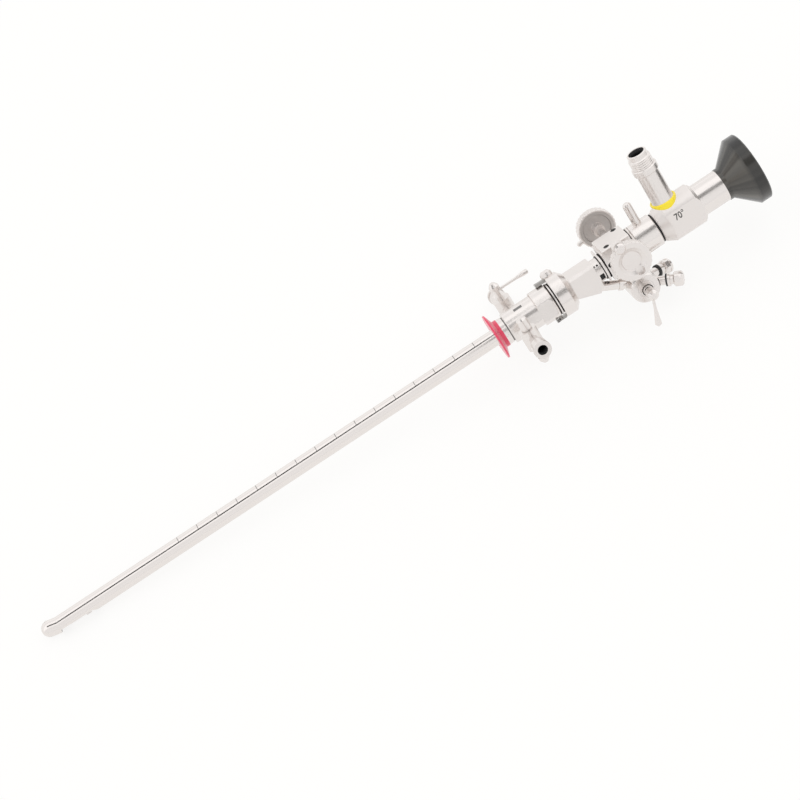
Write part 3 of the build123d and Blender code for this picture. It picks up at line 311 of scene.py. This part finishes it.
def grey_coat(name, colour, roughness):
    """A plain coat, such as etching black, with a faint unevenness."""
    coat, tree, face = new_material(name)
    face.inputs["Roughness"].default_value = roughness
    place = tree.nodes.new("ShaderNodeTexCoord")
    specks = noise(tree, 1800.0)
    tone = two_tones(tree, (0.0, [c * 0.8 for c in colour]), (1.0, [c * 1.2 for c in colour]))
    wire(
        tree,
        (place.outputs["Object"], specks.inputs["Vector"]),
        (specks.outputs["Fac"], tone.inputs["Fac"]),
        (tone.outputs["Color"], face.inputs["Base Color"]),
    )
    return coat


def new_tree(name, *numbers):
    """An empty geometry tree with its inputs, and its input and output nodes."""
    tree = bpy.data.node_groups.new(name, "GeometryNodeTree")
    tree.interface.new_socket("Geometry", in_out="INPUT", socket_type="NodeSocketGeometry")
    tree.interface.new_socket("Geometry", in_out="OUTPUT", socket_type="NodeSocketGeometry")
    for number, kind in numbers:
        tree.interface.new_socket(number, in_out="INPUT", socket_type="NodeSocket" + kind)
    return tree, tree.nodes.new("NodeGroupInput"), tree.nodes.new("NodeGroupOutput")


def plain_mesh(maker):
    """The finished mesh of an object, which is then taken out of the scene."""
    depsgraph = bpy.context.evaluated_depsgraph_get()
    mesh = bpy.data.meshes.new_from_object(maker.evaluated_get(depsgraph), depsgraph=depsgraph)
    bpy.data.objects.remove(maker)
    return mesh


def piece_from(name, tree, values, place, body):
    """Runs a geometry tree with these values, lays the result down as a plain mesh and fixes it to a body."""
    maker = in_room(name + "_maker", bpy.data.meshes.new(name + "_maker"))
    modifier = maker.modifiers.new("tree", "NODES")
    modifier.node_group = tree
    for socket in tree.interface.items_tree:
        if socket.in_out == "INPUT" and socket.name in values:
            modifier[socket.identifier] = values[socket.name]
    mesh = plain_mesh(maker)
    mesh.transform(laid_down @ place)
    mesh.name = name
    piece = in_room(name, mesh)
    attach(piece, body)
    return piece


# Centimetre marks are etched round the sheath's upper near side, from 7 to 22 centimetres from the tip.
# Each is a short arc, dark grey in the etching, standing no prouder than its own thin coat.
# The etching's grey also serves as painted shade in the hub's groove and slot and on a neck screw.
etching_and_painted_shade = grey_coat("etching_and_painted_shade", (0.2, 0.195, 0.19), 0.55)
marks, given, made = new_tree(
    "centimetre_marks",
    ("First mark", "Float"),
    ("Pitch", "Float"),
    ("Count", "Int"),
    ("Tube radius", "Float"),
    ("Half turn", "Float"),
    ("Width", "Float"),
    ("Coat", "Float"),
)
row = marks.nodes.new("GeometryNodeMeshLine")
row_start = marks.nodes.new("ShaderNodeCombineXYZ")
row_step = marks.nodes.new("ShaderNodeCombineXYZ")
arc = marks.nodes.new("GeometryNodeCurveArc")
arc.inputs["Resolution"].default_value = 24
sweep_start = number_math(marks, "MULTIPLY", -1.0)
sweep = number_math(marks, "MULTIPLY", 2.0)
section = marks.nodes.new("GeometryNodeCurvePrimitiveQuadrilateral")
strip = marks.nodes.new("GeometryNodeCurveToMesh")
strip.inputs["Fill Caps"].default_value = True
copies = marks.nodes.new("GeometryNodeInstanceOnPoints")
copies.inputs["Rotation"].default_value = (0.0, -math.pi / 2, 0.0)
real = marks.nodes.new("GeometryNodeRealizeInstances")
coated = marks.nodes.new("GeometryNodeSetMaterial")
coated.inputs["Material"].default_value = etching_and_painted_shade
wire(
    marks,
    (given.outputs["First mark"], row_start.inputs["X"]),
    (given.outputs["Pitch"], row_step.inputs["X"]),
    (given.outputs["Count"], row.inputs["Count"]),
    (row_start.outputs[0], row.inputs["Start Location"]),
    (row_step.outputs[0], row.inputs["Offset"]),
    (given.outputs["Tube radius"], arc.inputs["Radius"]),
    (given.outputs["Half turn"], sweep_start.inputs[0]),
    (given.outputs["Half turn"], sweep.inputs[0]),
    (sweep_start.outputs[0], arc.inputs["Start Angle"]),
    (sweep.outputs[0], arc.inputs["Sweep Angle"]),
    (given.outputs["Coat"], section.inputs["Width"]),
    (given.outputs["Width"], section.inputs["Height"]),
    (arc.outputs["Curve"], strip.inputs["Curve"]),
    (section.outputs["Curve"], strip.inputs["Profile Curve"]),
    (row.outputs["Mesh"], copies.inputs["Points"]),
    (strip.outputs["Mesh"], copies.inputs["Instance"]),
    (copies.outputs["Instances"], real.inputs["Geometry"]),
    (real.outputs["Geometry"], coated.inputs["Geometry"]),
    (coated.outputs["Geometry"], made.inputs["Geometry"]),
)
mark_pitch = 10.0
mark_coat = 0.02


def arcs(name, first, count, width, radius, half_turn, turn, coat):
    """A row of arcs round the sheath's axis, in millimetres and degrees, in this coat."""
    sizes = {
        "First mark": first * mm,
        "Pitch": mark_pitch * mm,
        "Count": count,
        "Tube radius": radius * mm,
        "Half turn": math.radians(half_turn),
        "Width": width * mm,
        "Coat": mark_coat * mm,
    }
    turned = Matrix.Rotation(math.radians(turn), 4, "X")
    piece = piece_from(name, marks, sizes, turned, "instrument")
    piece.data.materials.clear()
    piece.data.materials.append(coat)


tube_r = 3.665
arcs("centimetre_marks", 70.0, count=16, width=0.26, radius=tube_r, half_turn=24.0, turn=20.0, coat=etching_and_painted_shade)


def plastic(name, colour, roughness, coat, grain):
    """Moulded plastic with a fine skin grain and a clear shine."""
    skin, tree, face = new_material(name)
    face.inputs["Base Color"].default_value = (*colour, 1.0)
    face.inputs["Coat Weight"].default_value = coat
    face.inputs["Coat Roughness"].default_value = 0.12
    place = tree.nodes.new("ShaderNodeTexCoord")
    specks = noise(tree, grain, detail=3.0)
    polish = rescaled(tree, (0.0, 1.0), (roughness * 0.8, roughness * 1.25))
    skin_relief = bump(tree, 0.12, depth=0.03)
    wire(
        tree,
        (place.outputs["Object"], specks.inputs["Vector"]),
        (specks.outputs["Fac"], polish.inputs["Value"]),
        (polish.outputs["Result"], face.inputs["Roughness"]),
        (specks.outputs["Fac"], skin_relief.inputs["Height"]),
        (skin_relief.outputs["Normal"], face.inputs["Normal"]),
    )
    return skin


# The size collar is moulded plastic in the colour that codes the sheath's size: a thin disc on a cone.
# It is kept out of reflections, so that its colour doesn't spread over the metal beside it.
red_plastic = plastic("red_plastic", (0.76, 0.055, 0.125), roughness=0.3, coat=0.3, grain=1500.0)
finish(red_plastic, "size_collar")
frame["nodes"]["size_collar"].visible_glossy = False

# Narrow gaps between the turned pieces go deep and show dark: a ring painted near black, as painted shade,
# lies in each. A ring is a band round the instrument's axis, or about another line through its place.
rings, given, made = new_tree(
    "ring",
    ("Outer radius", "Float"),
    ("Inner radius", "Float"),
    ("Width", "Float"),
    ("Material", "Material"),
)
both_radii = number_math(rings, "ADD")
middle_radius = number_math(rings, "MULTIPLY", 0.5)
wall = number_math(rings, "SUBTRACT")
circle = rings.nodes.new("GeometryNodeCurvePrimitiveCircle")
circle.inputs["Resolution"].default_value = 96
section = rings.nodes.new("GeometryNodeCurvePrimitiveQuadrilateral")
band = rings.nodes.new("GeometryNodeCurveToMesh")
upright = rings.nodes.new("GeometryNodeTransform")
upright.inputs["Rotation"].default_value = (0.0, math.pi / 2, 0.0)
real = rings.nodes.new("GeometryNodeRealizeInstances")
coated = rings.nodes.new("GeometryNodeSetMaterial")
wire(
    rings,
    (given.outputs["Outer radius"], both_radii.inputs[0]),
    (given.outputs["Inner radius"], both_radii.inputs[1]),
    (given.outputs["Outer radius"], wall.inputs[0]),
    (given.outputs["Inner radius"], wall.inputs[1]),
    (both_radii.outputs[0], middle_radius.inputs[0]),
    (middle_radius.outputs[0], circle.inputs["Radius"]),
    (wall.outputs[0], section.inputs["Width"]),
    (given.outputs["Width"], section.inputs["Height"]),
    (circle.outputs["Curve"], band.inputs["Curve"]),
    (section.outputs["Curve"], band.inputs["Profile Curve"]),
    (band.outputs["Mesh"], upright.inputs["Geometry"]),
    (upright.outputs["Geometry"], real.inputs["Geometry"]),
    (real.outputs["Geometry"], coated.inputs["Geometry"]),
    (given.outputs["Material"], coated.inputs["Material"]),
    (coated.outputs["Geometry"], made.inputs["Geometry"]),
)


def ring(name, place, outer, inner, width, material, body):
    """A band of these radii and width in millimetres, about the X axis of its place."""
    sizes = {"Outer radius": outer * mm, "Inner radius": inner * mm, "Width": width * mm}
    return piece_from(name, rings, {**sizes, "Material": material}, place, body)


def at(x, y, z):
    """The shift to a place in millimetres along the instrument's own axes."""
    return Matrix.Translation(Vector((x, y, z)) * mm)


# Each gap has its start and end along the instrument, its radii, its level and its coat. The telescope and
# its lock lie a little above the sheath's axis.
scope_level = 1.15
# A near-black coat of painted shade, for the shade deep in narrow gaps, bores and recesses.
painted_shade_black = grey_coat("painted_shade_black", (0.012, 0.012, 0.013), 0.7)
gaps = {
    "hub_groove_shade": (235.64, 236.1, 5.66, 5.3, 0.0, etching_and_painted_shade),
    "bridge_gap_shade": (258.46, 258.94, 7.35, 7.0, 0.0, painted_shade_black),
    "ring_gap_shade": (259.66, 260.06, 7.1, 6.5, 0.0, painted_shade_black),
    "plate_front_shade": (283.2, 283.46, 5.6, 5.25, 0.0, painted_shade_black),
    "plate_rear_shade": (284.8, 285.14, 5.8, 5.25, 0.0, painted_shade_black),
    "block_rear_shade": (299.54, 300.2, 7.2, 6.05, scope_level, painted_shade_black),
    "sleeve_rear_shade": (311.76, 312.5, 6.7, 6.1, scope_level, painted_shade_black),
}
for gap_name, (gap_start, gap_end, outer, inner, level, coat) in gaps.items():
    middle = at((gap_start + gap_end) / 2, 0, level)
    ring(gap_name, middle, outer, inner, gap_end - gap_start, coat, "instrument")

# A plain steel collar, pressed on the receiver, fills the rest of the room between the block and the lock
# sleeve.
collar_start = 300.24
collar_end = 301.12
collar_r = 7.35
collar_bore_r = 6.05
ring(
    "receiver_collar",
    at((collar_start + collar_end) / 2, 0, scope_level),
    collar_r,
    collar_bore_r,
    collar_end - collar_start,
    turned_steel,
    "instrument",
)

# The light cable's socket is dark inside, round the end of the light guide: a ring and a floor of painted
# shade.
socket_x = 320.5
socket_top = 35.5
socket_depth = 3.2
socket_r = 3.18
socket_shade_r = 3.12
light_guide_r = 2.32
floor_thickness = 0.06
shade_below_top = 0.15
floor_below_shade = 0.2
upwards = Matrix.Rotation(-math.pi / 2, 4, "Y")
ring(
    "socket_shade",
    at(socket_x, 0, socket_top - shade_below_top - socket_depth / 2) @ upwards,
    socket_r,
    socket_shade_r,
    socket_depth,
    painted_shade_black,
    "instrument",
)
ring(
    "socket_floor",
    at(socket_x, 0, socket_top - floor_below_shade - socket_depth) @ upwards,
    socket_r,
    light_guide_r,
    floor_thickness,
    painted_shade_black,
    "instrument",
)

# A thin ring of painted shade lies round the channel tap's stem on its plug.
stem_place = at(294.5, -11.03, -15.8)
stem_shade_r = 2.6
stem_r = 2.2
stem_shade_width = 0.05
ring(
    "channel_stem_shade",
    stem_place @ Matrix.Rotation(math.pi / 2, 4, "Z"),
    stem_shade_r,
    stem_r,
    stem_shade_width,
    painted_shade_black,
    "channel_tap",
)

# Cuts in the hub and the bridge's neck show dark: a slot, two tiny screws and a recess. Each is an arc of
# painted shade like a centimetre mark, with its station, width, radius, half turn, turn to the near side and
# coat.
cuts = {
    "hub_slot": (243.9, 4.0, 7.1, 5.8, 19.0, etching_and_painted_shade),
    "neck_screw_front": (280.5, 0.8, 5.2, 5.0, 46.0, etching_and_painted_shade),
    "neck_screw_rear": (281.9, 0.8, 5.2, 5.0, 46.0, painted_shade_black),
    "neck_recess": (281.6, 2.1, 5.2, 18.0, 112.0, painted_shade_black),
}
for cut_name, (cut_x, *cut_sizes) in cuts.items():
    arcs(cut_name, cut_x, 1, *cut_sizes)

# The Luer sockets are seen into: their tapered mouths are dark inside, down to the bore, drawn as a ring and
# a floor of painted shade.
tap_reach = 19.0
luer_length = 16.8
luer_rim = tap_reach + luer_length
luer_depth = 7.3
luer_shade_r = 1.97
luer_shade_bore_r = 1.93
luer_bore_r = 1.2
luer_shade_in = 0.3
for luer_name, luer_side in (("near_luer", -1), ("far_luer", 1)):
    outward = Matrix.Rotation(math.radians(90 * luer_side), 4, "Z")
    middle = at(tap_x, luer_side * (luer_rim - luer_shade_in - luer_depth / 2), 0) @ outward
    bottom = at(tap_x, luer_side * (luer_rim - luer_depth), 0) @ outward
    for end, place, bore_r, width in (
        ("_shade", middle, luer_shade_bore_r, luer_depth),
        ("_floor", bottom, luer_bore_r, floor_thickness),
    ):
        ring(luer_name + end, place, luer_shade_r, bore_r, width, painted_shade_black, "instrument")

# The taps, the channel's drum and the ports are small turned and soldered pieces, tumbled after polishing,
# so their grain has no direction.
even_grain = (900.0, 900.0, 900.0)
tumbled_steel = steel("tumbled_steel", steel_colour, smooth=0.23, rough=0.27, grain=even_grain, relief=0.02)
finish(tumbled_steel, "far_tap_housing", "far_tap_plug", "far_tap_nut")
finish(tumbled_steel, "near_tap_housing", "near_tap_plug", "near_tap_nut")
finish(tumbled_steel, "channel_drum", "channel_plug", "channel_nut")
finish(tumbled_steel, "near_port", "far_port", "near_port_cap", "far_port_cap")
finish(tumbled_steel, "lock_knob", "scope_lock_pin", "near_peg", "far_peg")

# The bridge, its plate and its block are milled from solid and brushed lengthwise, and so are the rack and
# the deflecting lever.
milled_grain = (160.0, 2600.0, 2600.0)
milled_steel = steel("milled_steel", steel_colour, smooth=0.27, rough=0.37, grain=milled_grain, relief=0.06)
finish(milled_steel, "bridge_body", "clamp_plate", "bridge_block", "rack", "elevator")

# The telescope's body is satin finished all over, so its cone and shoulders stay as even as its flats.
satin_steel = steel("satin_steel", steel_colour, smooth=0.4, rough=0.46, grain=even_grain, relief=0.03)
finish(satin_steel, "scope_body")

# The hooked catches are hardened and darker, and so are the studs that they hold.
hardened_colour = (0.36, 0.345, 0.33)
hardened_steel = steel(
    "hardened_steel", hardened_colour, smooth=0.12, rough=0.2, grain=even_grain, relief=0.03
)
finish(hardened_steel, "lock_catches", "hub_studs")

# The thumbwheels are fine blasted, with a soft white sheen.
blasted_grain = (2500.0, 2500.0, 2500.0)
blasted_steel = steel(
    "blasted_steel", steel_colour, smooth=0.33, rough=0.45, grain=blasted_grain, relief=0.15
)
finish(blasted_steel, "near_wheel")

# The far wheel's inner face, between its boss and its rim, has a darker tone, which stands for the shade in
# its hollow. The rest of that wheel is as the near one.
axle_x = 293.0
axle_level = 6.2
face_side = 22.4
face_inner_r = 2.8
face_outer_r = 7.8
face_colour = (0.58, 0.555, 0.54)
far_wheel_steel = blasted_steel.copy()
far_wheel_steel.name = "far_wheel_steel"
wheel_tree = far_wheel_steel.node_tree
own_axes = wheel_tree.nodes["own axes"]
apart = wheel_tree.nodes.new("ShaderNodeSeparateXYZ")
from_axle = vector_math(wheel_tree, "SUBTRACT", (axle_x * mm, 0.0, axle_level * mm))
in_wheel = vector_math(wheel_tree, "MULTIPLY", (1.0, 0.0, 1.0))
reach = vector_math(wheel_tree, "LENGTH")
inside_rim = number_math(wheel_tree, "LESS_THAN", face_outer_r * mm)
outside_boss = number_math(wheel_tree, "GREATER_THAN", face_inner_r * mm)
on_inner_face = number_math(wheel_tree, "LESS_THAN", face_side * mm)
ring_share = number_math(wheel_tree, "MULTIPLY")
face_share = number_math(wheel_tree, "MULTIPLY")
face_tone = wheel_tree.nodes.new("ShaderNodeMix")
face_tone.data_type = "RGBA"
face_tone.inputs["A"].default_value = (*steel_colour, 1.0)
face_tone.inputs["B"].default_value = (*face_colour, 1.0)
wire(
    wheel_tree,
    (own_axes.outputs["Vector"], apart.inputs[0]),
    (own_axes.outputs["Vector"], from_axle.inputs[0]),
    (from_axle.outputs["Vector"], in_wheel.inputs[0]),
    (in_wheel.outputs["Vector"], reach.inputs[0]),
    (reach.outputs["Value"], inside_rim.inputs[0]),
    (reach.outputs["Value"], outside_boss.inputs[0]),
    (apart.outputs["Y"], on_inner_face.inputs[0]),
    (inside_rim.outputs[0], ring_share.inputs[0]),
    (outside_boss.outputs[0], ring_share.inputs[1]),
    (ring_share.outputs[0], face_share.inputs[0]),
    (on_inner_face.outputs[0], face_share.inputs[1]),
    (face_share.outputs[0], face_tone.inputs["Factor"]),
    (face_tone.outputs["Result"], wheel_tree.nodes["Principled BSDF"].inputs["Base Color"]),
)
finish(far_wheel_steel, "far_wheel")

# The block's screws are blackened, with a driver slot.
blackened = steel("blackened_steel", (0.05, 0.05, 0.05), smooth=0.3, rough=0.5, grain=even_grain, relief=0.2)
finish(blackened, "block_screws")

# The light post carries a screwed adapter for the light cable, and inside it the bundle of fibres ends. The
# yellow ring at its foot is kept out of reflections, as the size collar is.
post_grain = (60.0, 60.0, 7000.0)
post_steel = steel("post_steel", steel_colour, smooth=0.28, rough=0.31, grain=post_grain, relief=0.008)
finish(post_steel, "light_post", "post_adapter")
yellow_plastic = plastic("yellow_plastic", (0.95, 0.76, 0.02), roughness=0.35, coat=0.25, grain=1500.0)
finish(yellow_plastic, "post_ring")
frame["nodes"]["post_ring"].visible_glossy = False

# The view's angle is engraved on the telescope's near flat and filled with black.
number_place = at(319.9, -7.5, 2.4)
number_size = 4.4
number_narrowing = 0.8
number_swell = 0.05
number_depth = 0.02
number_text = bpy.data.curves.new("view_number", "FONT")
number_text.body = "70°"
number_text.size = number_size * mm
number_text.extrude = number_depth * mm
number_text.offset = number_swell * mm
number_mesh = plain_mesh(in_room("view_number_text", number_text))
number_shape = Matrix.Rotation(math.pi / 2, 4, "X") @ Matrix.Diagonal((number_narrowing, 1.0, 1.0, 1.0))
number_mesh.transform(laid_down @ number_place @ number_shape)
number_mesh.materials.clear()
number_mesh.materials.append(grey_coat("engraving_black", (0.035, 0.034, 0.033), 0.5))
view_number = in_room("view_number", number_mesh)
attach(view_number, "instrument")


def glass(name, tint, ior):
    """Polished optical glass, with a faint coating tint."""
    clear, tree, face = new_material(name)
    face.inputs["Base Color"].default_value = (*tint, 1.0)
    face.inputs["IOR"].default_value = ior
    face.inputs["Transmission Weight"].default_value = 1.0
    place = tree.nodes.new("ShaderNodeTexCoord")
    dust = noise(tree, 900.0)
    haze = rescaled(tree, (0.5, 1.0), (0.0, 0.08))
    wire(
        tree,
        (place.outputs["Object"], dust.inputs["Vector"]),
        (dust.outputs["Fac"], haze.inputs["Value"]),
        (haze.outputs["Result"], face.inputs["Roughness"]),
    )
    return clear


# Glass: the sloping window at the tip, the rod lenses, the eyepiece lens and its flat window. The light
# guide in the post is darker glass, and the fibres round the lenses look like a pale resin.
optical_glass = glass("optical_glass", (0.93, 0.96, 0.97), ior=1.52)
finish(optical_glass, "distal_window", "rod_lenses", "ocular_lens", "ocular_window")
guide_glass = glass("guide_glass", (0.55, 0.57, 0.58), ior=1.6)
finish(guide_glass, "light_guide")
fibre_ends = plastic("fibre_ends", (0.5, 0.47, 0.38), roughness=0.3, coat=0.0, grain=9000.0)
finish(fibre_ends, "light_fibres")

# Rubber discs and rings seal the ports, their caps and the joint between sheath and bridge.
seal_rubber = plastic("seal_rubber", (0.03, 0.03, 0.03), roughness=0.6, coat=0.0, grain=2500.0)
finish(seal_rubber, "hub_seal", "port_seals", "port_washers")

# The eyecup is turned from black plastic and polished. Its colour comes in lighter and darker patches by
# bearing round the axis, which stand for broad soft lights down its funnel, and darkens towards the rim.
eyecup_plastic = plastic("eyecup_plastic", (0.03, 0.0275, 0.0245), roughness=0.24, coat=0.35, grain=900.0)
dark_patch = (0.016, 0.0145, 0.0125)
light_patch = (0.085, 0.078, 0.067)
patch_scale = 2.6
rim_starts = 354.4
rim_ends = 356.2
rim_tone = 0.35
cup_tree = eyecup_plastic.node_tree
own_axes = own_axes_of(cup_tree, laid(0, 0, scope_level))
round_axis = vector_math(cup_tree, "MULTIPLY", (0.0, 1.0, 1.0))
bearing = vector_math(cup_tree, "NORMALIZE")
patches = noise(cup_tree, patch_scale)
cup_tone = two_tones(cup_tree, (0.38, dark_patch), (0.66, light_patch))
apart = cup_tree.nodes.new("ShaderNodeSeparateXYZ")
towards_rim = rescaled(cup_tree, (rim_starts * mm, rim_ends * mm), (1.0, rim_tone))
cup_colour = vector_math(cup_tree, "SCALE")
wire(
    cup_tree,
    (own_axes.outputs["Vector"], round_axis.inputs[0]),
    (round_axis.outputs["Vector"], bearing.inputs[0]),
    (bearing.outputs["Vector"], patches.inputs["Vector"]),
    (patches.outputs["Fac"], cup_tone.inputs["Fac"]),
    (own_axes.outputs["Vector"], apart.inputs[0]),
    (apart.outputs["X"], towards_rim.inputs["Value"]),
    (cup_tone.outputs["Color"], cup_colour.inputs[0]),
    (towards_rim.outputs["Result"], cup_colour.inputs["Scale"]),
    (cup_colour.outputs["Vector"], cup_tree.nodes["Principled BSDF"].inputs["Base Color"]),
)
finish(eyecup_plastic, "eyecup")
